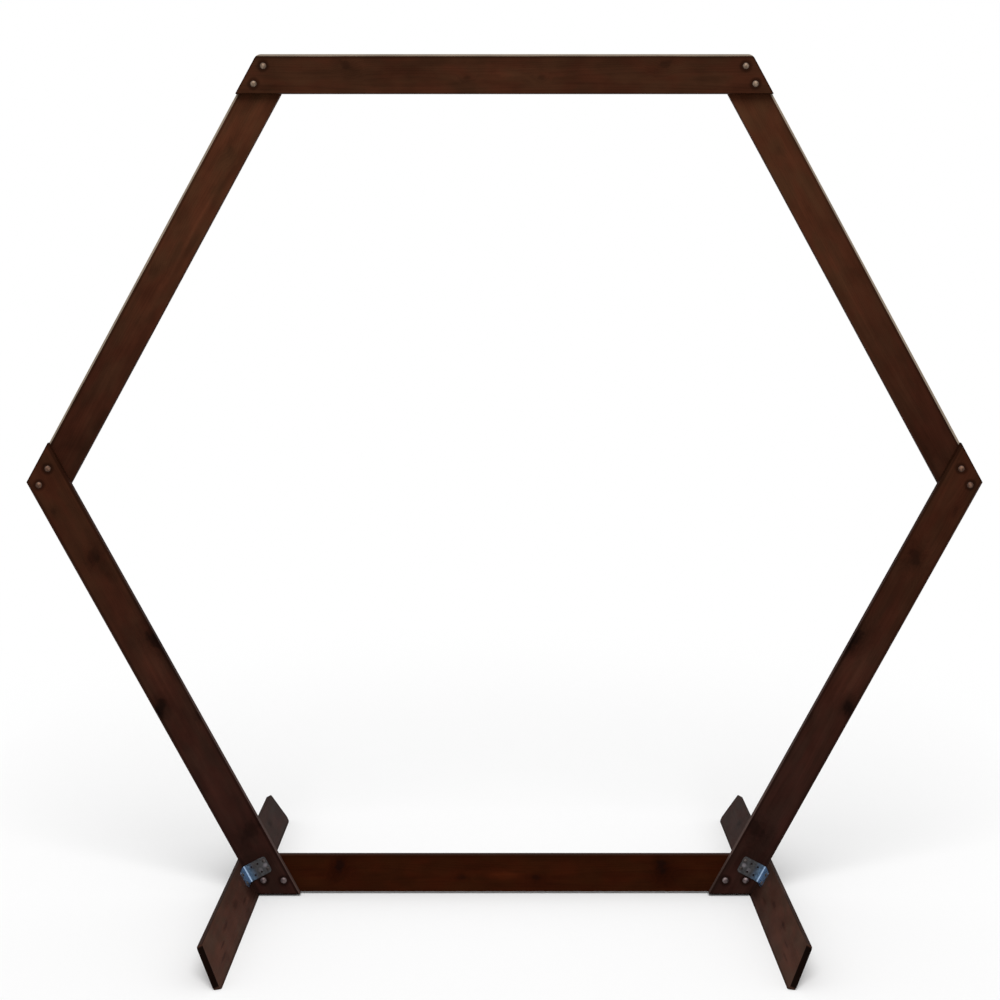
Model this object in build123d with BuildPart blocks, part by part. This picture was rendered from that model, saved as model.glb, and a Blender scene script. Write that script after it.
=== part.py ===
from build123d import *
import os
from math import cos, radians, sin, tan

os.makedirs("parts", exist_ok=True)

# A hexagonal timber arch that stands on two plank feet. X runs across the arch, Y from front to back
# and Z up. The origin is on the ground under the middle of the arch, in the plane where its boards lap.

# The ring of six boards, in millimetres, measured round its outer edge.
ring_height = 1996.0
waist_rise = 998.0
waist_width = 2260.0
top_length = 1150.0
bottom_length = 1190.0
board_width = 90.0
board_thickness = 18.0
arris_radius = 1.5
top_corner_radius = 18.0

# Feet of a thinner plank, longest at the sole, which is ripped so that each lies flat as it leans.
foot_length = 1140.0
foot_width = 96.0
foot_thickness = 13.0
foot_end_rake = 40.0
foot_corner_radius = 12.0
ground_clearance = 6.0

# Domed bolts, two in each lap, with a square neck let into the front board.
bolt_diameter = 6.0
bolt_head_diameter = 15.0
bolt_head_height = 3.5
bolt_neck_depth = 4.0
bolt_tip_chamfer = 0.8
bolt_projection = 6.5
bolt_hole_clearance = 0.25
neck_clearance = 0.05

# The first bolt of a lap from the end and from the outer edge of its front board, and on to the second.
top_bolt_end = 26.5
top_bolt_edge = 27.0
top_bolt_spacing = 41.0
waist_bolt_end = 29.0
waist_bolt_edge = 23.0
waist_bolt_spacing = 37.5
bottom_bolt_end = 34.0
bottom_bolt_edge = 29.0
bottom_bolt_spacing = 43.0

# Washers and nuts at the back of each lap.
washer_diameter = 18.0
washer_thickness = 1.6
washer_clearance = 0.2
nut_width = 10.0
nut_height = 5.0
nut_chamfer = 0.7
nut_chamfer_angle = 30.0
thread_clearance = 0.05

# Perforated angle brackets in the corners between the ring and the feet, just above the bolts.
board_leg = 60.0
foot_leg = 40.0
bracket_width = 42.0
bracket_thickness = 2.5
bend_radius = 4.0
bracket_corner_radius = 7.0
bracket_washer_gap = 2.0
bracket_hole_clearance = 0.5
hole_end_distance = 6.5
hole_row_pitch = 17.0
hole_column_spacing = 22.0
board_leg_rows = 3
foot_leg_rows = 2

# Round-headed wood screws through the end row of holes in each leg.
screw_diameter = 4.0
screw_length = 13.0
screw_point_length = 4.0
screw_head_diameter = 8.2
screw_head_height = 2.4
screw_rim_height = 1.2
pilot_clearance = 0.05

# Corners of the ring's outer edge, as points across and up, in order round the ring.
top_height = ground_clearance + ring_height
waist_height = ground_clearance + waist_rise
corners = {
    "top_left": Vector(-top_length / 2, top_height),
    "top_right": Vector(top_length / 2, top_height),
    "right_waist": Vector(waist_width / 2, waist_height),
    "bottom_right": Vector(bottom_length / 2, ground_clearance),
    "bottom_left": Vector(-bottom_length / 2, ground_clearance),
    "left_waist": Vector(-waist_width / 2, waist_height),
}
corner_names = list(corners)
rounded_corners = ["top_left", "top_right"]
top_lap = (top_bolt_end, top_bolt_edge, top_bolt_spacing)
waist_lap = (waist_bolt_end, waist_bolt_edge, waist_bolt_spacing)
bottom_lap = (bottom_bolt_end, bottom_bolt_edge, bottom_bolt_spacing)
laps = dict(zip(corner_names, (top_lap, top_lap, waist_lap, bottom_lap, bottom_lap, waist_lap)))

# Each board with the corner that it starts from. Every second one lies in the front layer.
front_boards = {
    "top_board": "top_left",
    "lower_right_board": "right_waist",
    "lower_left_board": "bottom_left",
}
back_boards = {
    "upper_right_board": "top_right",
    "bottom_board": "bottom_right",
    "upper_left_board": "left_waist",
}

# Directions at the left foot: up the side board's outer edge, and square to that edge into the board.
up_edge = (corners["left_waist"] - corners["bottom_left"]).normalized()
into_board = Vector(up_edge.Y, -up_edge.X)


def write_piece(name, piece):
    """Labels a finished piece and writes it to its own file."""
    piece.part.label = name
    export_step(piece.part, f"parts/{name}.step")


def in_space(point, depth):
    """A point or direction across and up, set at a depth from front to back."""
    return Vector(point.X, depth, point.Y)


def across(points):
    """The same points on the other side of the arch."""
    return [Vector(-point.X, point.Y) for point in points]


def name_after(name, steps):
    """The name of the corner that lies some steps further round the ring."""
    return corner_names[(corner_names.index(name) + steps) % len(corner_names)]


def end_cut(name, along, mate):
    """Inner end of a board that is cut flush with the outer edge of the board it laps."""
    corner = corners[name]
    board_way = corners[along] - corner
    mate_way = corners[mate] - corner
    slant = 1 / sin(radians(board_way.get_angle(mate_way)))
    return corner + mate_way.normalized() * (board_width * slant)


def lap_bolts(name):
    """The two bolt centres of a lap, in line with the end cut of its front board."""
    corner = corners[name]
    bolt_end, bolt_edge, bolt_spacing = laps[name]
    steps = 1 if name in front_boards.values() else -1
    front_way = (corners[name_after(name, steps)] - corner).normalized()
    back_way = (corners[name_after(name, -steps)] - corner).normalized()
    slant = 1 / sin(radians(front_way.get_angle(back_way)))
    first = corner + (front_way * bolt_end + back_way * bolt_edge) * slant
    return [first, first + back_way * (bolt_spacing * slant)]


def beside_foot(rise, reach):
    """A point by the left foot, up the outer edge from the bottom corner and in from that edge."""
    return corners["bottom_left"] + up_edge * rise + into_board * reach


# Height of a bracket's middle up the edge, which clears the washer of the first bolt.
first_bolt_rise = (lap_bolts("bottom_left")[0] - corners["bottom_left"]).dot(up_edge)
bracket_rise = first_bolt_rise + washer_diameter / 2 + bracket_washer_gap + bracket_width / 2

# Screw centres of the brackets on the ring, and the depth of every pilot hole.
half_column = hole_column_spacing / 2
ring_screw_reach = board_leg - hole_end_distance
left_ring_screws = [
    beside_foot(bracket_rise - half_column, ring_screw_reach),
    beside_foot(bracket_rise + half_column, ring_screw_reach),
]
ring_screws = {
    "lower_left_board": left_ring_screws,
    "lower_right_board": across(left_ring_screws),
    "bottom_board": left_ring_screws + across(left_ring_screws),
}
pilot_depth = screw_length - bracket_thickness + pilot_clearance


def ring_board(name, first, in_front):
    """A board of the ring with its bolt holes, neck sockets and pilot holes."""
    last = name_after(first, 1)
    bolts = lap_bolts(first) + lap_bolts(last)
    outer_side = board_thickness if in_front else -board_thickness
    with BuildPart() as board:
        with BuildSketch(Plane.XZ) as outline:
            with BuildLine():
                Polyline(
                    corners[first],
                    corners[last],
                    end_cut(last, first, name_after(last, 1)),
                    end_cut(first, last, name_after(first, -1)),
                    close=True,
                )
            make_face()
            for corner in (first, last):
                if corner in rounded_corners:
                    fillet(outline.vertices().sort_by_distance(corners[corner])[0], top_corner_radius)
        extrude(amount=outer_side)
        fillet(board.edges().filter_by(Axis.Y, reverse=True), arris_radius)
        with BuildSketch(Plane.XZ):
            with Locations(*bolts):
                Circle(bolt_diameter / 2 + bolt_hole_clearance)
        extrude(amount=outer_side, mode=Mode.SUBTRACT)
        if in_front:
            with BuildSketch(Plane.XZ.offset(board_thickness)):
                with Locations(*bolts):
                    Rectangle(bolt_diameter + 2 * neck_clearance, bolt_diameter + 2 * neck_clearance)
            extrude(amount=-bolt_neck_depth - neck_clearance, mode=Mode.SUBTRACT)
        if name in ring_screws:
            with BuildSketch(Plane.XZ.offset(outer_side)):
                with Locations(*ring_screws[name]):
                    Circle(screw_diameter / 2 + pilot_clearance)
            extrude(amount=-pilot_depth if in_front else pilot_depth, mode=Mode.SUBTRACT)
    return board


for name, first in front_boards.items():
    write_piece(name, ring_board(name, first, in_front=True))
for name, first in back_boards.items():
    write_piece(name, ring_board(name, first, in_front=False))


# The left foot leans with the side board, and its inner face lies on the ring's outer edge.
sole_inner = beside_foot(-ground_clearance / up_edge.Y, 0)
sole_outer = sole_inner - Vector(foot_thickness / into_board.X, 0)
top_inner = sole_inner + up_edge * foot_width
top_outer = top_inner - into_board * foot_thickness
half_sole = foot_length / 2
half_top = half_sole - foot_end_rake
foot_screw_depth = board_thickness + foot_leg - hole_end_distance
foot_face = Plane(
    origin=in_space(beside_foot(bracket_rise, 0), 0),
    x_dir=(0, 1, 0),
    z_dir=in_space(into_board, 0),
)
with BuildPart() as left_foot:
    with BuildSketch(Plane.XZ):
        with BuildLine():
            Polyline(sole_inner, sole_outer, top_outer, top_inner, close=True)
        make_face()
    extrude(amount=half_sole, both=True)
    fillet(left_foot.edges().filter_by(Axis.Y).sort_by(Axis.Z)[-2:], arris_radius)
    with BuildSketch(Plane(in_space(sole_inner, 0), foot_face.x_dir, foot_face.z_dir)) as profile:
        with BuildLine():
            Polyline(
                (-half_sole, 0), (half_sole, 0), (half_top, foot_width), (-half_top, foot_width), close=True
            )
        make_face()
        fillet(profile.vertices(), foot_corner_radius)
    extrude(amount=2 * foot_thickness, both=True, mode=Mode.INTERSECT)
    with BuildSketch(foot_face):
        with GridLocations(2 * foot_screw_depth, hole_column_spacing, 2, 2):
            Circle(screw_diameter / 2 + pilot_clearance)
    extrude(amount=-pilot_depth, mode=Mode.SUBTRACT)
write_piece("left_foot", left_foot)

with BuildPart() as right_foot:
    mirror(left_foot.part, about=Plane.YZ)
write_piece("right_foot", right_foot)


# A bracket is a folded strip, one leg on the front of the ring and one on the inner face of the foot.
bend_corner = in_space(beside_foot(bracket_rise, 0), -board_thickness)
fold_section = Plane(
    origin=bend_corner, x_dir=in_space(into_board, 0), z_dir=in_space(-up_edge, 0)
)
ring_face = Plane(origin=bend_corner, x_dir=in_space(into_board, 0), z_dir=(0, -1, 0))
board_leg_middle = board_leg - hole_end_distance - hole_row_pitch * (board_leg_rows - 1) / 2
foot_leg_middle = foot_leg - hole_end_distance - hole_row_pitch * (foot_leg_rows - 1) / 2
with BuildPart() as left_front_bracket:
    with BuildSketch(fold_section) as section:
        with BuildLine():
            Polyline(
                (0, 0),
                (board_leg, 0),
                (board_leg, bracket_thickness),
                (bracket_thickness, bracket_thickness),
                (bracket_thickness, foot_leg),
                (0, foot_leg),
                close=True,
            )
        make_face()
        inside = section.vertices().sort_by_distance((bracket_thickness, bracket_thickness))[0]
        fillet(inside, bend_radius)
        outside = section.vertices().sort_by_distance((0, 0))[0]
        fillet(outside, bend_radius + bracket_thickness)
    extrude(amount=bracket_width / 2, both=True)
    leg_corners = left_front_bracket.edges().filter_by(
        lambda edge: abs(edge.length - bracket_thickness) < 0.001
    )
    fillet(leg_corners, bracket_corner_radius)
    with BuildSketch(ring_face):
        with Locations((board_leg_middle, 0)):
            with GridLocations(hole_row_pitch, hole_column_spacing, board_leg_rows, 2):
                Circle(screw_diameter / 2 + bracket_hole_clearance)
    extrude(amount=bracket_thickness, mode=Mode.SUBTRACT)
    with BuildSketch(foot_face):
        with Locations((-board_thickness - foot_leg_middle, 0)):
            with GridLocations(hole_row_pitch, hole_column_spacing, foot_leg_rows, 2):
                Circle(screw_diameter / 2 + bracket_hole_clearance)
    extrude(amount=bracket_thickness, mode=Mode.SUBTRACT)


# Screws, bolts, washers and nuts are each made once about Z, with the seat of the head at zero.
with BuildPart() as screw:
    with BuildSketch(Plane.XZ):
        with BuildLine():
            Polyline(
                (0, screw_head_height),
                (0, -screw_length),
                (screw_diameter / 2, screw_point_length - screw_length),
                (screw_diameter / 2, 0),
                (screw_head_diameter / 2, 0),
                (screw_head_diameter / 2, screw_rim_height),
                (screw_diameter / 2, screw_head_height),
                close=True,
            )
        make_face()
    revolve(axis=Axis.Z)

bolt_reach = 2 * board_thickness + washer_thickness + nut_height + bolt_projection
with BuildPart() as bolt:
    with BuildSketch(Plane.XZ):
        with BuildLine():
            Polyline(
                (0, bolt_head_height),
                (0, -bolt_reach),
                (bolt_diameter / 2 - bolt_tip_chamfer, -bolt_reach),
                (bolt_diameter / 2, bolt_tip_chamfer - bolt_reach),
                (bolt_diameter / 2, 0),
                (bolt_head_diameter / 2, 0),
            )
            TangentArc((0, bolt_head_height), (bolt_head_diameter / 2, 0), tangent=(1, 0))
        make_face()
    revolve(axis=Axis.Z)
    with BuildSketch():
        Rectangle(bolt_diameter, bolt_diameter)
    extrude(amount=-bolt_neck_depth)

with BuildPart() as washer:
    with BuildSketch():
        Circle(washer_diameter / 2)
        Circle(bolt_diameter / 2 + washer_clearance, mode=Mode.SUBTRACT)
    extrude(amount=washer_thickness)

nut_corner = nut_width / 2 / cos(radians(30))
with BuildPart() as nut:
    with BuildSketch():
        RegularPolygon(nut_width / 2, 6, major_radius=False)
        Circle(bolt_diameter / 2 + thread_clearance, mode=Mode.SUBTRACT)
    extrude(amount=nut_height)
    with BuildPart(mode=Mode.INTERSECT):
        Cylinder(nut_corner, nut_height, align=(Align.CENTER, Align.CENTER, Align.MIN))
        chamfer(
            edges().filter_by(GeomType.CIRCLE), nut_chamfer, nut_chamfer / tan(radians(nut_chamfer_angle))
        )


def set_out(master, places):
    """Copies of one fastener at each of its places, as one piece."""
    with BuildPart() as group:
        with Locations(*places):
            add(master.part)
    return group


for name in corner_names:
    front_places = [
        Plane(origin=in_space(centre, -board_thickness), x_dir=(1, 0, 0), z_dir=(0, -1, 0))
        for centre in lap_bolts(name)
    ]
    back_places = [
        Plane(origin=in_space(centre, board_thickness), x_dir=(1, 0, 0), z_dir=(0, 1, 0))
        for centre in lap_bolts(name)
    ]
    write_piece(f"{name}_bolts", set_out(bolt, front_places))
    write_piece(f"{name}_washers", set_out(washer, back_places))
    write_piece(f"{name}_nuts", set_out(nut, [place.offset(washer_thickness) for place in back_places]))

# The screws of one bracket: two into the ring and two into the foot.
ring_screw_places = [
    Plane(origin=in_space(centre, -board_thickness - bracket_thickness), z_dir=(0, -1, 0))
    for centre in left_ring_screws
]
foot_screw_places = [
    Plane(
        origin=in_space(beside_foot(rise, bracket_thickness), -foot_screw_depth),
        z_dir=in_space(into_board, 0),
    )
    for rise in (bracket_rise - half_column, bracket_rise + half_column)
]
left_front_screws = set_out(screw, ring_screw_places + foot_screw_places)

# The other three corners hold the same bracket and screws, turned over to the back and to the right.
for kind, left_front in (("bracket", left_front_bracket), ("screws", left_front_screws)):
    with BuildPart() as left_rear:
        mirror(left_front.part, about=Plane.XZ)
    with BuildPart() as right_front:
        mirror(left_front.part, about=Plane.YZ)
    with BuildPart() as right_rear:
        mirror(left_rear.part, about=Plane.YZ)
    write_piece(f"left_front_{kind}", left_front)
    write_piece(f"left_rear_{kind}", left_rear)
    write_piece(f"right_front_{kind}", right_front)
    write_piece(f"right_rear_{kind}", right_rear)
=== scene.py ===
import math

import bmesh
import bpy
from mathutils import Matrix, Vector


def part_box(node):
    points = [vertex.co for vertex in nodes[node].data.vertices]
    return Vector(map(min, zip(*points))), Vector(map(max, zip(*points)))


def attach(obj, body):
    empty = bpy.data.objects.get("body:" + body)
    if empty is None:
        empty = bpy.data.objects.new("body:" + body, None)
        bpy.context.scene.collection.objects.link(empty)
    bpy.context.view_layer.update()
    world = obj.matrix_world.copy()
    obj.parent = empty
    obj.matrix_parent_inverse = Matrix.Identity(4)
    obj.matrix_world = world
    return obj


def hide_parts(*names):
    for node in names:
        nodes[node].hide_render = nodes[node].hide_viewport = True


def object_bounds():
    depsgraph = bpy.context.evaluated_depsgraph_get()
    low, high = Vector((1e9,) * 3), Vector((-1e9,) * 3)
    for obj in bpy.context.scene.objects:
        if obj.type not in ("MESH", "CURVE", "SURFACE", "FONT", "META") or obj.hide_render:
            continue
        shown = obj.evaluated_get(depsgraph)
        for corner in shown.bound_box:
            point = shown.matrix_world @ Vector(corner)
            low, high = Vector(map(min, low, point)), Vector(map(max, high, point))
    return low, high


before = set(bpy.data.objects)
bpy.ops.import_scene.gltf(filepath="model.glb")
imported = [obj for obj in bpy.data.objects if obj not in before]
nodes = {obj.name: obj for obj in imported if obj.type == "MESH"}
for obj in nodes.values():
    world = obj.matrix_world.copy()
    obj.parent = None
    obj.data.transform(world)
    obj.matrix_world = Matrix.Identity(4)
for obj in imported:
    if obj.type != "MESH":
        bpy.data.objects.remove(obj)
cad_low, cad_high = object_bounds()


# The ring: six planed softwood boards, brushed with a dark brown stain and lapped at the corners.
# Three lie in front and three behind, and each end is sawn flush with the edge of the board it laps.
# The stain is darker at the sawn ends and round the bolts, with painted shade of the heads round the bolts
# too, and the upper boards' outer edges are bleached and painted with a highlight.
top_low, top_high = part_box("top_board")
bottom_low, bottom_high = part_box("bottom_board")
top_length = 1.150
bottom_length = 1.190
board_width = top_high.z - top_low.z
board_thickness = top_high.y - top_low.y
waist_height = (top_high.z + bottom_low.z) / 2
corners = {
    "top_left": Vector((-top_length / 2, 0, top_high.z)),
    "top_right": Vector((top_length / 2, 0, top_high.z)),
    "right_waist": Vector((cad_high.x, 0, waist_height)),
    "bottom_right": Vector((bottom_length / 2, 0, bottom_low.z)),
    "bottom_left": Vector((-bottom_length / 2, 0, bottom_low.z)),
    "left_waist": Vector((cad_low.x, 0, waist_height)),
}
depthwise = Vector((0, 1, 0))


def shown(red, green, blue):
    """A colour given as a display shows it, from 0 to 255, in linear light."""
    shares = [level / 255 for level in (red, green, blue)]
    return tuple(s / 12.92 if s < 0.04045 else ((s + 0.055) / 1.055) ** 2.4 for s in shares) + (1,)


class Signal:
    """A shader socket that can be added, multiplied and so on."""

    def __init__(self, finish, socket):
        self.finish = finish
        self.socket = socket

    def maths(self, operation, first, second=0.0):
        return self.finish.node("Math", {"operation": operation}, {0: first, 1: second})

    def __add__(self, other):
        return self.maths("ADD", self, other)

    def __sub__(self, other):
        return self.maths("SUBTRACT", self, other)

    def __rsub__(self, other):
        return self.maths("SUBTRACT", other, self)

    def __mul__(self, other):
        return self.maths("MULTIPLY", self, other)

    def __truediv__(self, other):
        return self.maths("DIVIDE", self, other)

    def __pow__(self, other):
        return self.maths("POWER", self, other)

    def __abs__(self):
        return self.maths("ABSOLUTE", self)

    def __mod__(self, other):
        return self.maths("FLOORED_MODULO", self, other)

    __radd__ = __add__
    __rmul__ = __mul__


class Finish:
    """A material, with one method that makes its nodes and a few that name the usual ones."""

    def __init__(self, name):
        self.material = bpy.data.materials.new(name)
        self.material.use_nodes = True
        self.tree = self.material.node_tree
        self.shader = self.tree.nodes["Principled BSDF"]

    def plug(self, socket, value):
        if isinstance(value, Signal):
            self.tree.links.new(value.socket, socket)
        else:
            socket.default_value = value

    def node(self, kind, settings, inputs, output=0):
        """One node: its settings are made first, and then its sockets get their values or links."""
        made = self.tree.nodes.new("ShaderNode" + kind)
        for name, value in settings.items():
            setattr(made, name, value)
        for name, value in inputs.items():
            self.plug(made.inputs[name], value)
        return Signal(self, made.outputs[output])

    def surface(self, **inputs):
        """Values or links of the finished surface, with _ for each space in a socket's name."""
        for name, value in inputs.items():
            self.plug(self.shader.inputs[name.replace("_", " ")], value)

    def fade(self, value, start, end):
        """Goes smoothly from 0 where the value is at start to 1 where it is at end."""
        return self.node(
            "MapRange",
            {"interpolation_type": "SMOOTHSTEP"},
            {"Value": value, "From Min": start, "From Max": end},
        )

    def blend(self, share, colour, other):
        return self.node("Mix", {"data_type": "RGBA"}, {0: share, 6: colour, 7: other}, 2)

    def stretch(self, place, scales):
        return self.node("VectorMath", {"operation": "MULTIPLY"}, {0: place, 1: scales})

    def shift(self, place, by):
        return self.node("VectorMath", {"operation": "ADD"}, {0: place, 1: by})

    def brighten(self, colour, amount):
        return self.node("VectorMath", {"operation": "SCALE"}, {0: colour, "Scale": amount})

    def noise(self, place, detail, output=0):
        return self.node("TexNoise", {}, {"Vector": place, "Scale": 1.0, "Detail": detail}, output)

    def apart(self, place, spot):
        """Distance between two places, as a number."""
        return self.node("VectorMath", {"operation": "DISTANCE"}, {0: place, 1: spot}, "Value")

    def along(self, place, way):
        """How far a place lies along a way, as a number."""
        return self.node("VectorMath", {"operation": "DOT_PRODUCT"}, {0: place, 1: way}, "Value")

    def inside(self, place, spot, sizes, turn=0.0):
        """Distance from a spot on a plank's face, in units of two sizes, along its length and up it.

        turn turns the two, in degrees, and how deep the place lies in the plank hardly counts.
        """
        depth_unit = 10.0
        inputs = {
            "Vector": place,
            "Location": (spot[0], 0, spot[1]),
            "Rotation": (0, math.radians(turn), 0),
            "Scale": (sizes[0], depth_unit, sizes[1]),
        }
        return self.apart(self.node("Mapping", {"vector_type": "TEXTURE"}, inputs), (0, 0, 0))

    def parts(self, place):
        """The three numbers of a place, or the channels of a colour."""
        return [self.node("SeparateXYZ", {}, {0: place}, axis) for axis in range(3)]

    def capped(self, value):
        """Keeps a sum of shares between 0 and 1."""
        return self.node("Clamp", {}, {"Value": value})


def stained_timber(name, plank, size, stain, knots, patches, rims, bolts, ends, seed, soak=0.62):
    """Dark stained softwood for one plank.

    plank: its middle, its way along and its way up.
    size: its length and width.
    stain: its colour at both ends, which on the ring boards also holds painted light, paler towards the
    top of the ring and darker lower down.
    knots: (along, up, radius, turn, darkness) of each, from the middle.
    patches: (along, up, half length, half height, lift, warmth) of each, from the middle. Lift is how
    much paler the stain lies there, and warmth how much redder; the darker patch by each bracket is
    painted shade.
    rims: (side, tone, reach, shade, share, share) of a long edge. Side is 1 for the upper and -1 for the
        lower, reach is how far its tone comes round onto the face, shade is how dark the line beside it
        is, and the shares are how strong the tone is at both ends.
    bolts: places of bolt heads.
    ends: pairs of a place on a sawn end and the way into the wood.
    seed: a number that gives each plank grain of its own.
    soak: how dark the sawn ends are.
    """
    finish = Finish(name)
    middle, along, up = plank
    length, width = size
    turn = Matrix((along, up.cross(along), up)).transposed().to_euler()
    place = finish.node("TexCoord", {}, {}, "Object")
    lying = {"Vector": place, "Location": middle, "Rotation": turn}
    local = finish.node("Mapping", {"vector_type": "TEXTURE"}, lying)
    x, y, z = finish.parts(local)
    own = finish.shift(local, (7.3 * seed, 1.9 * seed, 4.1 * seed))

    # Growth rings wind round a pith outside the plank, and swell round every knot.
    ring_gap = 0.0032
    pith_sway = 0.03
    pith_y = 0.035 + 0.012 * (seed % 3)
    pith_z = 0.02 - 0.018 * (seed % 4)
    sway = finish.parts(finish.noise(finish.stretch(own, (1.4, 0.3, 0.3)), 1.0, "Color"))
    from_pith_y = y - pith_y + sway[0] * pith_sway
    from_pith_z = z - pith_z + sway[1] * pith_sway
    ripple = finish.noise(finish.stretch(own, (5, 60, 60)), 3.0)
    radius = (from_pith_y ** 2 + from_pith_z ** 2) ** 0.5 + ripple * 0.0022
    heart = 0.0
    collar = 0.0
    ragged = finish.noise(finish.stretch(own, (70, 95, 95)), 4.0)
    for knot_along, knot_up, knot_radius, knot_turn, darkness in knots:
        sizes = (knot_radius * 1.45, knot_radius * 0.85)
        spread = finish.inside(local, (knot_along, knot_up), sizes, knot_turn) + ragged * 2.2 - 0.5
        radius = radius + finish.fade(spread, 4.6, 1.0) * (knot_radius * 0.8)
        heart = heart + finish.fade(spread, 2.1, 1.0) * darkness
        collar = collar + finish.fade(spread, 3.8, 1.5) * darkness
    ring = (radius / ring_gap) % 1.0
    late_wood = finish.fade(ring, 0.35, 0.85) * finish.fade(ring, 1.0, 0.9)

    # Fibres and long streaks of stain, broad blotches, and a lean towards red or towards olive.
    fibres = finish.noise(finish.stretch(own, (9, 700, 700)), 3.0)
    streaks = finish.noise(finish.stretch(own, (3.2, 40, 75)), 3.0)
    bands = finish.fade(streaks, 0.34, 0.66)
    blotches = finish.noise(finish.stretch(own, (14, 26, 26)), 4.0)
    mottle = finish.fade(blotches, 0.32, 0.68)
    lean = finish.noise(finish.stretch(own, (12, 20, 28)), 3.0)
    level = 0.83 + bands * 0.14 + mottle * 0.28 + fibres * 0.14 - late_wood * 0.10
    for patch_along, patch_up, half_length, half_height, lift, warmth in patches:
        spread = finish.inside(local, (patch_along, patch_up), (half_length, half_height))
        covered = finish.fade(spread + ragged * 0.6, 1.4, 0.55)
        level = level + covered * (bands * 0.6 + 0.7) * lift
        lean = lean - covered * (0.3 * warmth)
    colour = finish.blend(finish.fade(x + blotches * 0.2 - 0.1, -length / 2, length / 2), *stain)
    tint = finish.blend(finish.fade(lean, 0.33, 0.67), (1.06, 0.95, 0.93, 1), (0.94, 1.05, 1.02, 1))
    colour = finish.stretch(finish.brighten(colour, level), tint)
    colour = finish.brighten(colour, 1 - collar * 0.3)
    colour = finish.blend(heart * (0.55 + fibres * 0.4), colour, shown(15, 7, 5))

    # Dark rings round the bolt heads, partly stain and partly painted shade cast by the heads, and dark
    # sawn ends.
    ring_outside = 0.021
    ring_inside = 0.013
    for bolt in bolts:
        beside = finish.apart(finish.stretch(place, (1, 0, 1)), (bolt.x, 0, bolt.z))
        ringed = finish.fade(beside + ragged * 0.006, ring_outside, ring_inside)
        colour = finish.brighten(colour, 1 - ringed * 0.5)
    soaked_depth = 0.0042
    sawn_face = 0.0004
    sawn = 0.0
    for end, inwards in ends:
        depth = finish.along(place, inwards) - end.dot(inwards)
        sawn = sawn + finish.fade(depth, soaked_depth, sawn_face)
    colour = finish.brighten(colour, 1 - sawn * soak)

    # The tone of each long edge, with the grain in it, and a dark line on the face beside it. On an
    # upward-facing edge the pale tone is partly a painted highlight.
    line_far = 0.0070
    line_near = 0.0030
    tone_edge = 0.0008
    edge_grain = 0.72 + fibres * 0.28 + bands * 0.14 + mottle * 0.16 - late_wood * 0.12
    for rim_side, tone, reach, shade, first_share, last_share in rims:
        outwards = z * rim_side + (streaks - 0.5) * 0.003
        start = width / 2 - reach
        line = finish.fade(outwards, start - line_far, start - line_near)
        colour = finish.brighten(colour, 1 - line * (streaks + 0.5) * shade)
        share = (x / length + 0.5) * (last_share - first_share) + first_share
        edge = finish.brighten(tone[:3], edge_grain)
        colour = finish.blend(finish.fade(outwards, start, start + tone_edge) * share, colour, edge)

    height = late_wood * 0.35 + fibres * 0.5 - heart * 0.3 + blotches * 0.6
    finish.surface(
        Base_Color=colour,
        Roughness=0.42 + streaks * 0.22 + sawn * 0.25 + fibres * 0.1,
        Specular_IOR_Level=0.012,
        Normal=finish.node("Bump", {}, {"Strength": 0.5, "Distance": 0.0006, "Height": height}),
    )
    return finish.material


def dress(node, material):
    """Gives a CAD node its finish."""
    for slot in nodes[node].material_slots:
        slot.material = material


def heads(node):
    """The middle of each of the two bolts in a node, which stand apart along X or along Z."""
    low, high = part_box(node)
    size = high - low
    axis = 2 if size.z > size.x else 0
    points = [vertex.co for vertex in nodes[node].data.vertices]
    halfway = (low[axis] + high[axis]) / 2
    pair = []
    for above in (False, True):
        own = [point for point in points if (point[axis] > halfway) == above]
        middle = [(min(p[i] for p in own) + max(p[i] for p in own)) / 2 for i in range(3)]
        pair.append(Vector(middle))
    return pair


# Each board: the corner it starts from, the one it runs to, and 1 in the front layer or -1 behind.
ring = {
    "top_board": ("top_left", "top_right", 1),
    "upper_left_board": ("left_waist", "top_left", -1),
    "lower_left_board": ("bottom_left", "left_waist", 1),
    "bottom_board": ("bottom_right", "bottom_left", -1),
    "lower_right_board": ("right_waist", "bottom_right", 1),
    "upper_right_board": ("top_right", "right_waist", -1),
}
# Knots and patches of the top, the left-hand and the bottom boards, measured from the middle of each
# along it and up, which is away from the ring's middle.
top_knots = [
    (-0.369, 0.021, 0.010, 25, 0.45),
    (-0.087, -0.009, 0.006, 0, 0.35),
    (0.085, -0.009, 0.006, 0, 0.35),
    (0.371, 0.021, 0.010, -25, 0.45),
]
upper_knots = [(0.010, 0.020, 0.009, 30, 0.20), (0.345, -0.006, 0.008, -20, 0.18)]
lower_knots = [
    (-0.056, 0.026, 0.012, 35, 0.95),
    (0.094, -0.038, 0.015, -8, 0.95),
    (-0.118, -0.042, 0.007, 0, 0.40),
    (0.334, -0.009, 0.014, 50, 0.60),
    (0.474, 0.022, 0.007, 10, 0.40),
    (-0.420, -0.022, 0.018, 65, 0.60),
]
bottom_knots = [
    (-0.379, -0.018, 0.012, 80, 0.80),
    (-0.075, 0.010, 0.007, 0, 0.60),
    (0.103, 0.010, 0.007, 0, 0.60),
    (0.399, -0.018, 0.012, -80, 0.80),
]
top_patches = [
    (0.005, 0.000, 0.038, 0.010, 0.34, 0.0),
    (0.000, 0.010, 0.160, 0.036, 0.16, 0.1),
    (-0.231, 0.010, 0.050, 0.030, -0.12, 0.0),
    (0.241, 0.010, 0.050, 0.030, -0.12, 0.0),
    (-0.480, -0.010, 0.060, 0.020, 0.05, -0.8),
    (0.480, -0.010, 0.060, 0.020, 0.05, -0.8),
    (-0.545, -0.034, 0.040, 0.014, -0.22, 0.3),
    (0.545, -0.034, 0.040, 0.014, -0.22, 0.3),
]
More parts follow.
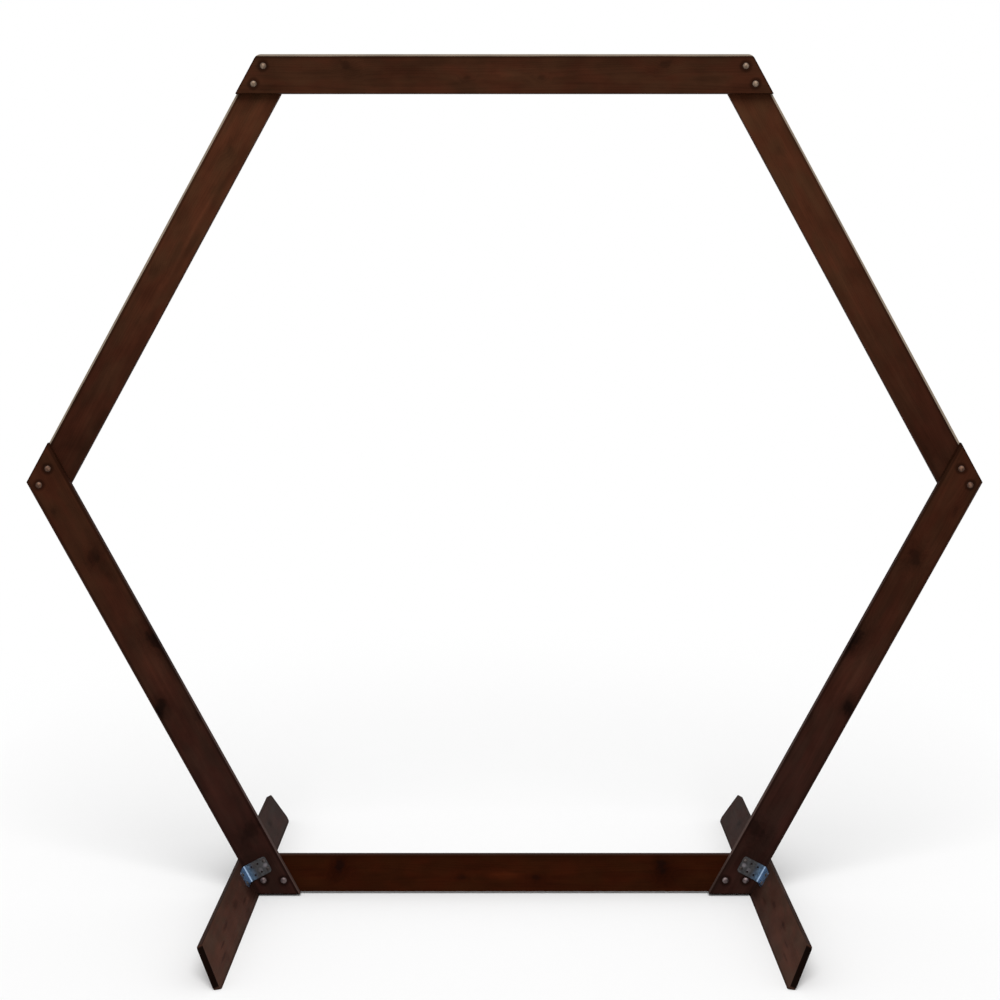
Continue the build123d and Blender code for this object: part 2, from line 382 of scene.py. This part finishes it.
upper_patches = [
    (0.030, -0.014, 0.260, 0.010, 0.20, 0.2),
    (0.205, -0.020, 0.040, 0.006, 0.16, 0.0),
    (-0.300, -0.006, 0.120, 0.012, 0.10, 0.0),
    (-0.440, -0.010, 0.060, 0.030, -0.22, 0.2),
    (-0.420, -0.036, 0.110, 0.010, -0.20, -0.3),
    (-0.300, 0.030, 0.200, 0.012, -0.05, 0.4),
    (0.395, 0.004, 0.060, 0.016, -0.10, 0.0),
]
lower_patches = [
    (-0.065, 0.034, 0.022, 0.012, -0.45, 0.0),
    (0.060, -0.041, 0.080, 0.007, -0.45, 0.0),
    (0.300, -0.020, 0.045, 0.020, -0.22, 0.0),
    # The next patch is painted shade round the bracket.
    (-0.500, 0.008, 0.048, 0.046, -0.30, 0.1),
    (-0.455, 0.000, 0.080, 0.040, -0.10, -0.2),
    (0.010, 0.000, 0.080, 0.034, 0.32, 0.1),
    (-0.240, 0.010, 0.120, 0.020, 0.14, 0.0),
    (-0.200, -0.020, 0.060, 0.012, 0.00, -0.8),
    (0.200, 0.010, 0.050, 0.020, 0.04, 0.5),
]
bottom_patches = [
    (0.000, 0.006, 0.050, 0.012, 0.50, 0.0),
    (-0.392, 0.000, 0.060, 0.040, -0.22, 0.2),
    (0.392, 0.000, 0.060, 0.040, -0.22, 0.2),
    (0.000, 0.000, 0.120, 0.030, 0.08, 0.0),
    (-0.470, 0.020, 0.060, 0.020, 0.10, -0.5),
    (0.470, 0.020, 0.060, 0.020, 0.10, -0.5),
]


def turned_knots(knots):
    """The same knots on the board that mirrors this one."""
    return [(-along, up, radius, -turn, darkness) for along, up, radius, turn, darkness in knots]


def turned_patches(patches):
    """The same patches on the board that mirrors this one."""
    return [(-along, *rest) for along, *rest in patches]


def turned_rims(rims):
    """The same edges on the board that mirrors this one."""
    return [(*rim, last, first) for *rim, first, last in rims]


# The stain of each board from its first corner to its last, with its knots, patches and edges. The outer
# edges of the three upper boards are weathered pale grey and painted with a highlight where they face up,
# and both edges of the two lower side boards are dull and soiled, the upward inner one with a painted
# sheen.
# The end tones hold painted light as well as stain: paler towards the top of the ring and darker towards
# the waist and the bottom.
shaded_bottom_tone = shown(42, 24, 20)
waist_tone = shown(54, 28, 17)
shaded_tone = shown(49, 25, 16)
upper_lit_tone = shown(70, 40, 25)
top_tone = shown(57, 31, 19)
bottom_tone = shown(43, 16, 5)
weathered_and_lit = [(1, shown(150, 136, 120), 0.0050, 0.35, 0.9, 0.9)]
soiled_and_lit = [(-1, shown(98, 78, 72), 0.0008, 0.4, 0.6, 0.0), (1, shown(70, 56, 52), 0.0030, 0.3, 0.1, 0.8)]
plain = [(-1, shown(38, 18, 9), 0.0006, 0.2, 0.9, 0.9)]
left_lower = (lower_knots, lower_patches, soiled_and_lit)
left_upper = (upper_knots, upper_patches, weathered_and_lit)
right_lower = (turned_knots(lower_knots), turned_patches(lower_patches), turned_rims(soiled_and_lit))
right_upper = (turned_knots(upper_knots), turned_patches(upper_patches), weathered_and_lit)
looks = {
    "top_board": ((top_tone, top_tone), top_knots, top_patches, weathered_and_lit),
    "upper_left_board": ((shaded_tone, upper_lit_tone), *left_upper),
    "lower_left_board": ((shaded_bottom_tone, waist_tone), *left_lower),
    "bottom_board": ((bottom_tone, bottom_tone), bottom_knots, bottom_patches, plain),
    "lower_right_board": ((waist_tone, shaded_bottom_tone), *right_lower),
    "upper_right_board": ((upper_lit_tone, shaded_tone), *right_upper),
}
order = list(corners)
for seed, (board, (first, last, layer)) in enumerate(ring.items()):
    run = corners[last] - corners[first]
    way = run.normalized()
    outwards = way.cross(depthwise)
    centre = (corners[first] + corners[last]) / 2 - outwards * (board_width / 2)
    centre.y = -layer * board_thickness / 2
    ends = []
    for corner, onwards in ((first, -1), (last, 1)):
        other = order[(order.index(corner) + onwards) % len(order)]
        mate = (corners[other] - corners[corner]).normalized()
        inwards = mate.cross(depthwise)
        if inwards.dot(centre - corners[corner]) < 0:
            inwards = -inwards
        ends.append((corners[corner], inwards))
    dress(
        board,
        stained_timber(
            f"{board}_stain",
            (centre, way, outwards),
            (run.length, board_width),
            *looks[board],
            heads(f"{first}_bolts") + heads(f"{last}_bolts"),
            ends,
            seed=seed + 1,
        ),
    )


# The feet: two thinner planks set on edge under the bottom corners and held to the ring by brackets.
# Each leans in line with the side board, is ripped to lie flat on the ground and has its ends cut back.
foot_length = 1.140
foot_width = 0.096
foot_thickness = 0.013
foot_end_rake = 0.040
foot_stain = (shown(68, 44, 35), shown(48, 34, 31))
foot_rims = [
    (-1, shown(36, 24, 22), 0.0010, 0.35, 0.8, 0.8),
    (1, shown(34, 20, 14), 0.0008, 0.00, 0.9, 0.9),
]
foot_knots = [
    (-0.330, 0.008, 0.010, -30, 0.15),
    (-0.205, 0.010, 0.012, 15, 0.15),
    (-0.428, -0.030, 0.010, 40, 0.15),
    (0.380, 0.010, 0.009, 20, 0.50),
]
foot_patches = [
    # The first patch is painted shade where the ring and the bracket shade the foot.
    (-0.022, -0.016, 0.080, 0.042, -0.55, 0.6),
    (-0.150, -0.036, 0.050, 0.012, -0.20, -0.3),
    (-0.255, -0.042, 0.080, 0.010, -0.16, 0.0),
    (-0.203, 0.008, 0.036, 0.009, -0.42, 1.6),
    (-0.337, 0.010, 0.040, 0.006, -0.42, 1.6),
    (-0.471, 0.040, 0.050, 0.016, 0.06, -0.5),
    (-0.455, -0.010, 0.060, 0.020, 0.20, 2.6),
    (-0.448, -0.020, 0.040, 0.004, -0.50, 1.8),
    (-0.415, -0.004, 0.034, 0.003, -0.50, 1.8),
    (-0.130, -0.012, 0.030, 0.004, -0.40, 1.6),
    (-0.300, -0.010, 0.120, 0.030, 0.06, 0.5),
    (-0.278, 0.022, 0.040, 0.012, 0.16, 0.6),
    (-0.097, 0.021, 0.020, 0.008, 0.24, 1.6),
    (-0.262, 0.044, 0.070, 0.012, 0.02, -0.3),
    (-0.113, -0.020, 0.034, 0.006, 0.26, 0.3),
    (-0.408, 0.030, 0.040, 0.010, 0.14, 0.3),
    (0.440, -0.005, 0.070, 0.030, 0.10, 0.0),
]
hands = {"left": 1, "right": -1}
rising = (corners["left_waist"] - corners["bottom_left"]).normalized()


def foot_ways(side):
    """The way up one foot, and the way square to it that points out from the ring."""
    return Vector((rising.x * side, 0, rising.z)), Vector((-rising.z * side, 0, rising.x))


for seed, (hand, side) in enumerate(hands.items()):
    foot = f"{hand}_foot"
    corner = corners[f"bottom_{hand}"]
    foot_up, foot_out = foot_ways(side)
    sole = corner - foot_up * (corner.z / foot_up.z) + foot_out * (foot_thickness / 2)
    foot_middle = sole + foot_up * (foot_width / 2)
    foot_ends = []
    for forward in (-1, 1):
        into_end = -forward * depthwise * foot_width - foot_up * foot_end_rake
        foot_ends.append((sole + depthwise * forward * foot_length / 2, into_end.normalized()))
    dress(
        foot,
        stained_timber(
            f"{foot}_stain",
            (foot_middle, depthwise, foot_up),
            (foot_length, foot_width),
            foot_stain,
            foot_knots,
            foot_patches,
            foot_rims,
            (),
            foot_ends,
            seed=seed + 11,
            soak=0.92,
        ),
    )


# The brackets: galvanised strip, punched with two rows of holes and folded to a right angle. The leg on
# the ring is rougher, with grime, and painted a dim grey as zinc reflecting shade, and the fold and the
# leg on the foot are painted with a bluish reflection of the sky and highlights.
def galvanised(name, fold, ringwards, screws, highlights):
    """Spangled zinc, painted a dim grey and made rougher past the fold on the side that ringwards points
    to, with a painted bluish reflection and highlights on the fold and the other leg.

    screws: places of screws, with grime round them.
    rubbed: pairs of a place with a painted highlight and how bright it is.
    """
    finish = Finish(name)
    place = finish.node("TexCoord", {}, {}, "Object")
    past_fold = finish.along(place, ringwards) - fold.dot(ringwards)
    spangle = finish.node("TexVoronoi", {"feature": "F1"}, {"Vector": place, "Scale": 260.0}, "Color")
    facet = finish.node("SeparateXYZ", {}, {0: spangle})
    clouds = finish.noise(finish.stretch(place, (90, 90, 90)), 3.0)
    smear = finish.noise(finish.stretch(place, (60, 60, 60)), 4.0)
    ring_leg = finish.fade(past_fold + smear * 0.008, 0.012, 0.032)
    # Painted highlights: the bend shines, with a bluer line of painted sky reflection where it starts, and
    # the zinc just past it is painted brighter too.
    fold_shine = finish.fade(past_fold, 0.0020, 0.0040) * finish.fade(past_fold, 0.0085, 0.0060)
    fold_blue = finish.fade(past_fold, -0.0005, 0.0006) * finish.fade(past_fold, 0.0040, 0.0020)
    glow = finish.fade(past_fold, 0.0060, 0.0080) * finish.fade(past_fold, 0.0240, 0.0120)
    tip = finish.fade(abs(finish.along(place, depthwise)), 0.028, 0.056)
    bright = finish.blend(clouds, shown(82, 104, 132), shown(114, 138, 164))
    bright = finish.blend(glow * 0.45, bright, shown(132, 160, 180))
    bright = finish.blend(tip * 0.75, bright, shown(142, 144, 158))
    bright = finish.blend(fold_shine, bright, shown(150, 174, 200))
    bright = finish.blend(fold_blue * 0.5, bright, shown(56, 88, 126))
    grey = finish.blend(clouds, shown(50, 51, 52), shown(92, 90, 91))
    colour = finish.blend(ring_leg, bright, grey)
    colour = finish.brighten(colour, 0.85 + facet * 0.3)
    # Painted highlights in patches, and grime in smears and round the screws.
    for spot, brightness in highlights:
        glint = finish.fade(finish.apart(place, spot) + smear * 0.012, 0.0135, 0.0075)
        colour = finish.blend(glint * brightness, colour, shown(132, 126, 130))
    grime = finish.fade(smear, 0.54, 0.68) * ring_leg * 0.7
    for screw in screws:
        ringed = finish.fade(finish.apart(place, screw) + clouds * 0.003, 0.0085, 0.0055)
        grime = grime + ringed * 0.8
    grime = finish.capped(grime)
    height = facet + clouds
    finish.surface(
        Base_Color=finish.blend(grime * 0.6, colour, shown(50, 38, 34)),
        Metallic=1 - grime * 0.6,
        Roughness=0.30 + ring_leg * 0.22 + facet * 0.12,
        Normal=finish.node("Bump", {}, {"Strength": 0.3, "Distance": 0.0002, "Height": height}),
    )
    return finish.material


board_leg = 0.060
foot_leg = 0.040
bracket_width = 0.042
bracket_thickness = 0.0025
hole_end_distance = 0.0065
hole_column_spacing = 0.022
washer_radius = 0.009
washer_gap = 0.002
bolt_rise = max((head - corners["bottom_left"]).dot(rising) for head in heads("bottom_left_bolts"))
bracket_rise = bolt_rise + washer_radius + washer_gap + bracket_width / 2
screw_rises = (bracket_rise - hole_column_spacing / 2, bracket_rise + hole_column_spacing / 2)
# Painted highlights on the leg on the ring: how far up the foot, how far along the ring, and how bright.
highlight_spots = [(0.0550, 0.0510, 0.8), (0.0490, 0.0360, 0.35)]
screw_places = {}
for hand, side in hands.items():
    foot_up, foot_out = foot_ways(side)
    ringwards = -foot_out
    corner = corners[f"bottom_{hand}"]
    for end, forward in (("front", -1), ("rear", 1)):
        out = depthwise * forward
        face = out * (board_thickness + bracket_thickness)
        depth = out * (board_thickness + foot_leg - hole_end_distance)
        places = []
        for rise in screw_rises:
            spot = corner + foot_up * rise
            places.append((spot + ringwards * (board_leg - hole_end_distance) + face, out))
            places.append((spot + ringwards * bracket_thickness + depth, ringwards))
        screw_places[f"{hand}_{end}"] = places
        screws = [seat for seat, way in places]
        highlights = []
        for rise, reach, glint_strength in highlight_spots:
            highlights.append((corner + foot_up * rise + ringwards * reach + face, glint_strength))
        zinc = galvanised(f"{hand}_{end}_bracket_zinc", corner, ringwards, screws, highlights)
        dress(f"{hand}_{end}_bracket", zinc)


# The bolts: two carriage bolts in each lap, zinc plated and dulled to a warm grey. The domed head draws
# its square neck into the front board, and a plain washer and a nut pull the boards together behind.
def plated(name, tones, middles, rim, seed):
    """Dulled zinc plate between a light and a dark tone, darker at the rim of each head with stain and
    dirt and with painted shade where the dome turns away.

    middles: pairs of the middle of a head's seat and the way that the head faces.
    rim: the head's radius.
    """
    finish = Finish(name)
    light, dark = tones
    place = finish.node("TexCoord", {}, {}, "Object")
    own = finish.shift(place, (seed, seed, seed))
    clouds = finish.noise(finish.stretch(own, (160, 160, 160)), 4.0)
    scuffs = finish.noise(finish.stretch(own, (900, 900, 900)), 2.0)
    colour = finish.blend(finish.fade(clouds + scuffs * 0.2, 0.45, 0.75), dark, light)
    # The rim of each head is darkened: painted shade where the dome turns from the light, and dirt in the
    # crease.
    dirt_and_shade = 0.0
    for middle, way in middles:
        lift = finish.along(place, way) - middle.dot(way)
        off_axis = finish.capped(finish.apart(place, middle) ** 2 - lift ** 2) ** 0.5
        ragged = off_axis + clouds * 0.0012
        near = finish.fade(ragged, rim * 1.6, rim * 1.1)
        dirt_and_shade = dirt_and_shade + finish.fade(ragged, rim * 0.84, rim * 1.08) * near
    dirt_and_shade = finish.capped(dirt_and_shade)
    finish.surface(
        Base_Color=finish.blend(dirt_and_shade * 0.8, colour, shown(38, 26, 20)),
        Metallic=0.85 - dirt_and_shade * 0.6,
        Roughness=0.38 + clouds * 0.25 + dirt_and_shade * 0.2,
        Normal=finish.node("Bump", {}, {"Strength": 0.2, "Distance": 0.0001, "Height": scuffs}),
    )
    return finish.material


def lathed(profile, steps=40):
    """A closed shape turned about Z from (radius, height) points that run from the axis to the axis."""
    shape = bmesh.new()
    points = [shape.verts.new((radius, 0, height)) for radius, height in profile]
    edges = [shape.edges.new(pair) for pair in zip(points, points[1:])]
    bmesh.ops.spin(
        shape,
        geom=points + edges,
        axis=(0, 0, 1),
        cent=(0, 0, 0),
        angle=math.tau,
        steps=steps,
        use_merge=True,
    )
    bmesh.ops.remove_doubles(shape, verts=shape.verts, dist=1e-6)
    bmesh.ops.recalc_face_normals(shape, faces=shape.faces)
    return shape


def threaded(start, end, radius, pitch, depth, taper=0.0, steps=18):
    """A closed screw thread along Z, from start up to end, that narrows to a point over its taper."""
    point_share = 0.04
    shape = bmesh.new()
    turns = round((end - start) / pitch) - 1
    root = radius - depth
    profile = [(root, 0, start), (radius, 0, start + pitch / 2), (root, 0, start + pitch)]
    points = [shape.verts.new(point) for point in profile]
    edges = [shape.edges.new(pair) for pair in zip(points, points[1:])]
    bmesh.ops.spin(
        shape,
        geom=points + edges,
        axis=(0, 0, 1),
        cent=(0, 0, 0),
        dvec=(0, 0, pitch / steps),
        angle=math.tau * turns,
        steps=steps * turns,
    )
    bmesh.ops.remove_doubles(shape, verts=shape.verts, dist=1e-5)
    for vertex in shape.verts:
        if taper and vertex.co.z < start + taper:
            share = max((vertex.co.z - start) / taper, point_share)
            vertex.co.x *= share
            vertex.co.y *= share
    rims = [edge for edge in shape.edges if edge.is_boundary]
    bmesh.ops.holes_fill(shape, edges=rims, sides=0)
    bmesh.ops.triangulate(shape, faces=[face for face in shape.faces if len(face.verts) > 4])
    bmesh.ops.recalc_face_normals(shape, faces=shape.faces)
    return shape


def joined(*shapes):
    """One mesh of several shapes."""
    whole = bmesh.new()
    for shape in shapes:
        part = bpy.data.meshes.new("part")
        shape.to_mesh(part)
        shape.free()
        whole.from_mesh(part)
        bpy.data.meshes.remove(part)
    mesh = bpy.data.meshes.new("master")
    whole.to_mesh(mesh)
    whole.free()
    return mesh


def set_out(name, master, places, material, node):
    """Copies of a fastener, each with its seat at a place and its head along a way, as one piece."""
    crease = math.radians(35)
    group = bmesh.new()
    for seat, way in places:
        before = len(group.verts)
        group.from_mesh(master)
        group.verts.ensure_lookup_table()
        turn = Vector((0, 0, 1)).rotation_difference(way).to_matrix()
        own = group.verts[before:]
        bmesh.ops.rotate(group, verts=own, cent=(0, 0, 0), matrix=turn)
        bmesh.ops.translate(group, verts=own, vec=seat)
    for face in group.faces:
        face.smooth = True
    for edge in group.edges:
        edge.smooth = edge.calc_face_angle(0) < crease
    mesh = bpy.data.meshes.new(name)
    group.to_mesh(mesh)
    group.free()
    mesh.materials.append(material)
    piece = bpy.data.objects.new(name, mesh)
    bpy.context.scene.collection.objects.link(piece)
    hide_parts(node)
    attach(piece, "root")


bolt_radius = 0.003
bolt_head_radius = 0.0075
bolt_head_height = 0.0035
bolt_neck_depth = 0.004
bolt_reach = 0.0491
thread_pitch = 0.001
thread_depth = 0.0006
thread_length = 0.013
dome_points = 10
dome_radius = (bolt_head_radius ** 2 + bolt_head_height ** 2) / (2 * bolt_head_height)
dome_angle = math.asin(bolt_head_radius / dome_radius)
dome = []
for step in range(dome_points + 1):
    angle = dome_angle * step / dome_points
    drop = dome_radius * (1 - math.cos(angle))
    dome.append((dome_radius * math.sin(angle), bolt_head_height - drop))
shank_end = thread_length - bolt_reach
shank = [(bolt_radius, 0), (bolt_radius, shank_end), (0, shank_end)]
neck = bmesh.new()
bmesh.ops.create_cube(neck, size=1.0)
bmesh.ops.scale(neck, verts=neck.verts, vec=(2 * bolt_radius, 2 * bolt_radius, bolt_neck_depth))
bmesh.ops.translate(neck, verts=neck.verts, vec=(0, 0, -bolt_neck_depth / 2))
core_radius = bolt_radius - thread_depth
core = [(0, shank_end), (core_radius, shank_end), (core_radius, -bolt_reach), (0, -bolt_reach)]
thread_start = thread_depth - bolt_reach
thread_end = shank_end + thread_pitch
bolt_thread = threaded(thread_start, thread_end, bolt_radius, thread_pitch, thread_depth)
bolt_master = joined(lathed(dome + shank), neck, lathed(core, 18), bolt_thread)
# The plate at each level of the ring, light and dark: greyest at the bottom and reddest at the waist.
lap_tones = {
    "top": (shown(136, 118, 102), shown(96, 78, 64)),
    "waist": (shown(114, 86, 70), shown(74, 52, 41)),
    "bottom": (shown(122, 108, 108), shown(84, 72, 72)),
}
for number, corner in enumerate(corners):
    tones = next(tones for level, tones in lap_tones.items() if level in corner)
    pair = heads(f"{corner}_bolts")
    seats = [(Vector((head.x, top_low.y, head.z)), -depthwise) for head in pair]
    plate = plated(f"{corner}_plate", tones, seats, bolt_head_radius, number * 0.37)
    set_out(f"{corner}_carriage_bolts", bolt_master, seats, plate, f"{corner}_bolts")
    washer_seats = [(Vector((head.x, bottom_high.y, head.z)), depthwise) for head in pair]
    washer_plate = plated(f"{corner}_washer_plate", tones, washer_seats, washer_radius, number * 0.53)
    dress(f"{corner}_washers", washer_plate)
    dress(f"{corner}_nuts", washer_plate)


# The screws: pan heads with a crossed recess, two of each bracket into the ring and two into its foot.
# Their coarse threads bite into pilot holes.
screw_radius = 0.002
screw_core_radius = 0.0014
screw_head_radius = 0.0041
screw_head_height = 0.0024
screw_head_fullness = 0.77
screw_length = 0.013
screw_point = 0.004
screw_tip_radius = 0.0002
screw_pitch = 0.0018
screw_thread_depth = 0.0007
plain_neck = 0.0006
recess_length = 0.0046
recess_width = 0.0009
recess_depth = 0.0016
recess_taper = 0.45
screw_tones = (shown(96, 90, 88), shown(54, 47, 45))
pan_points = 10
pan = []
for step in range(pan_points + 1):
    angle = math.pi / 2 * step / pan_points
    reach = screw_head_radius * math.sin(angle) ** screw_head_fullness
    pan.append((reach, screw_head_height * math.cos(angle) ** screw_head_fullness))
core = [(screw_core_radius, 0), (screw_core_radius, screw_point - screw_length)]
tip = [(screw_tip_radius, screw_tip_radius / 2 - screw_length), (0, -screw_length)]
screw_body = bpy.data.objects.new("screw_body", joined(lathed(pan + core + tip, 32)))
# The recess is cut by a cross of two tapered bars.
cross = bmesh.new()
for sizes in ((recess_length, recess_width), (recess_width, recess_length)):
    arm = bmesh.ops.create_cube(cross, size=1.0)["verts"]
    bmesh.ops.scale(cross, verts=arm, vec=(*sizes, 2 * recess_depth))
    lower_end = [vertex for vertex in arm if vertex.co.z < 0]
    bmesh.ops.scale(cross, verts=lower_end, vec=(recess_taper, recess_taper, 1))
    bmesh.ops.translate(cross, verts=arm, vec=(0, 0, screw_head_height))
cutter = bpy.data.objects.new("cross_cutter", joined(cross))
for helper in (screw_body, cutter):
    bpy.context.scene.collection.objects.link(helper)
recess = screw_body.modifiers.new("recess", "BOOLEAN")
recess.object = cutter
recess.solver = "EXACT"
recess.use_self = True
depsgraph = bpy.context.evaluated_depsgraph_get()
recessed = bmesh.new()
recessed.from_mesh(bpy.data.meshes.new_from_object(screw_body.evaluated_get(depsgraph)))
for helper in (screw_body, cutter):
    bpy.data.objects.remove(helper)
screw_thread = threaded(
    -screw_length,
    -plain_neck,
    screw_radius,
    screw_pitch,
    screw_thread_depth,
    screw_point,
    14,
)
screw_master = joined(recessed, screw_thread)
for number, (bracket, places) in enumerate(screw_places.items()):
    plate = plated(f"{bracket}_screw_plate", screw_tones, places, screw_head_radius, number * 0.29)
    set_out(f"{bracket}_pan_screws", screw_master, places, plate, f"{bracket}_screws")


# The studio: a pale paper floor that keeps the arch's shadow and turns plain white further out, under
# an even white sky. Both look brighter to the camera and in gloss than the light that they give.
def in_sight(finish):
    """1 where a ray comes from the camera, from gloss or through glass, and 0 for light that falls."""
    kinds = ("Camera", "Glossy", "Transmission")
    rays = [finish.node("LightPath", {}, {}, f"Is {kind} Ray") for kind in kinds]
    return rays[0] + rays[1] + rays[2]


class Sky(Finish):
    """The world round the arch, whose nodes are made as a finish's are."""

    def __init__(self, name):
        self.world = bpy.data.worlds.new(name)
        self.world.use_nodes = True
        self.tree = self.world.node_tree
        self.shader = self.tree.nodes["Background"]


floor_size = 60.0
shadow_reach = 1.6
white_from = 3.4
lit_paper = (0.45, 0.45, 0.45, 1)
seen_paper = (0.92, 0.92, 0.92, 1)
white = (1, 1, 1, 1)
floor_mesh = bmesh.new()
bmesh.ops.create_grid(floor_mesh, x_segments=1, y_segments=1, size=floor_size / 2)
floor_data = bpy.data.meshes.new("floor")
floor_mesh.to_mesh(floor_data)
floor_mesh.free()
floor = bpy.data.objects.new("floor", floor_data)
bpy.context.scene.collection.objects.link(floor)
paper = Finish("floor_paper")
spot = paper.node("TexCoord", {}, {}, "Object")
far = paper.fade(paper.apart(spot, (0, 0, 0)), shadow_reach, white_from)
seen = in_sight(paper)
paper_tone = paper.blend(seen, lit_paper, seen_paper)
paper.surface(Base_Color=paper_tone, Roughness=0.9, Specular_IOR_Level=0.0)
lit = Signal(paper, paper.shader.outputs["BSDF"])
glow = paper.node("Emission", {}, {"Color": white, "Strength": 1.0})
mixed = paper.node("MixShader", {}, {0: far * seen, 1: lit, 2: glow})
paper.plug(paper.tree.nodes["Material Output"].inputs["Surface"], mixed)
floor_data.materials.append(paper.material)

sky_level = 0.52
sky = Sky("studio_sky")
brightness = sky.node("MapRange", {}, {"Value": in_sight(sky), "To Min": sky_level, "To Max": 1.0})
sky.surface(Color=white, Strength=brightness)
bpy.context.scene.world = sky.world


# The lamp: one broad soft light, high in front and straight ahead. It is far off, so that it is as strong
# at the feet as at the top board.
lamp_height = 50
key = bpy.data.lights.new("key_lamp", "SUN")
key.energy = 2.3
key.angle = math.radians(42)
key_lamp = bpy.data.objects.new("key_lamp", key)
key_lamp.rotation_euler = (math.radians(90 - lamp_height), 0, 0)
bpy.context.scene.collection.objects.link(key_lamp)


# The camera: it stands about four metres in front of the arch, at chest height, and looks slightly down.
# The lens and the shifts frame the arch as the photograph does.
eye_distance = 4.0033
eye_height = 1.4661
eye_dip = 4.516
camera_data = bpy.data.cameras.new("camera")
camera_data.sensor_width = 36.0
camera_data.lens = 61.096
camera_data.shift_x = -0.0045
camera_data.shift_y = -0.0798
camera = bpy.data.objects.new("camera", camera_data)
camera.location = (0, -eye_distance, eye_height)
camera.rotation_euler = (math.radians(90 - eye_dip), 0, 0)
bpy.context.scene.collection.objects.link(camera)
bpy.context.scene.camera = camera
bpy.context.scene.view_settings.view_transform = "Standard"
